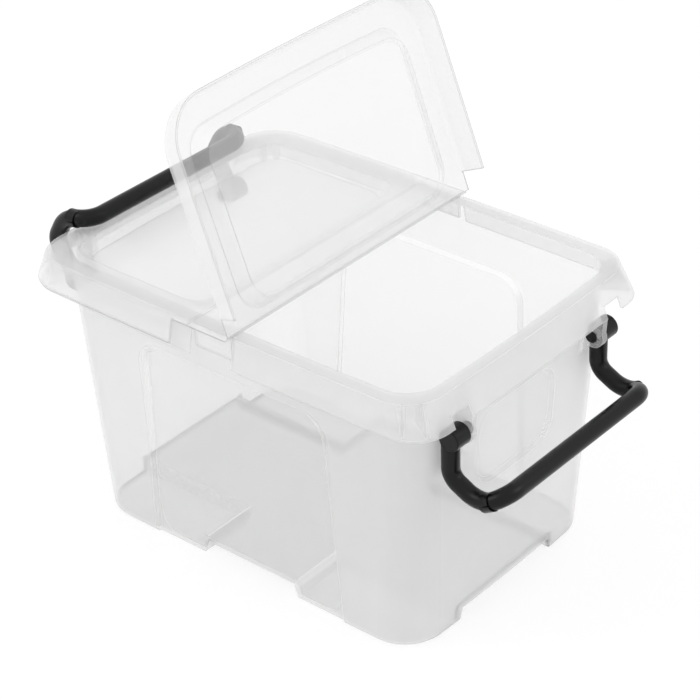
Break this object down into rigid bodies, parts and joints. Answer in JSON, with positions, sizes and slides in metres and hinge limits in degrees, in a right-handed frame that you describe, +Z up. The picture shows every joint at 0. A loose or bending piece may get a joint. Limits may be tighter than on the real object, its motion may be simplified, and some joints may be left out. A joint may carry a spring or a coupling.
{
  "type": "portable file box",
  "caption": "Translucent portable file box with a folding lid in halves and swinging bail handles that latch over the lid's ends.",
  "frame": {"origin": "centre of the tub on the plane of its feet", "axes": "+X towards the released handle and the open half, +Y to the back, +Z up"},
  "size_m": [0.4374, 0.2868, 0.4019],
  "materials": {
    "tub_plastic": "frosted translucent",
    "lid_plastic": "clear frosted, semi-gloss",
    "handle_plastic": "semi-gloss black"
  },
  "bodies": {
    "box": {"tub": "tub_plastic", "lid_fixed_half": "lid_plastic"},
    "lid_folding": {"lid_folding_half": "lid_plastic"},
    "handle_left": {"handle_left": "handle_plastic"},
    "handle_right": {"handle_right": "handle_plastic"}
  },
  "joints": [
    {"name": "lid_fold", "type": "hinge", "parent": "box", "child": "lid_folding", "pos_m": [0.0186, 0, 0.2325], "axis": [0, -1, 0], "range_deg": [-111, 68]},
    {"name": "handle_right_swing", "type": "hinge", "parent": "box", "child": "handle_right", "pos_m": [0.182, 0, 0.1905], "axis": [0, -1, 0], "range_deg": [0, 147]},
    {"name": "handle_left_swing", "type": "hinge", "parent": "box", "child": "handle_left", "pos_m": [-0.182, 0, 0.1905], "axis": [0, -1, 0], "range_deg": [0, 147]}
  ]
}
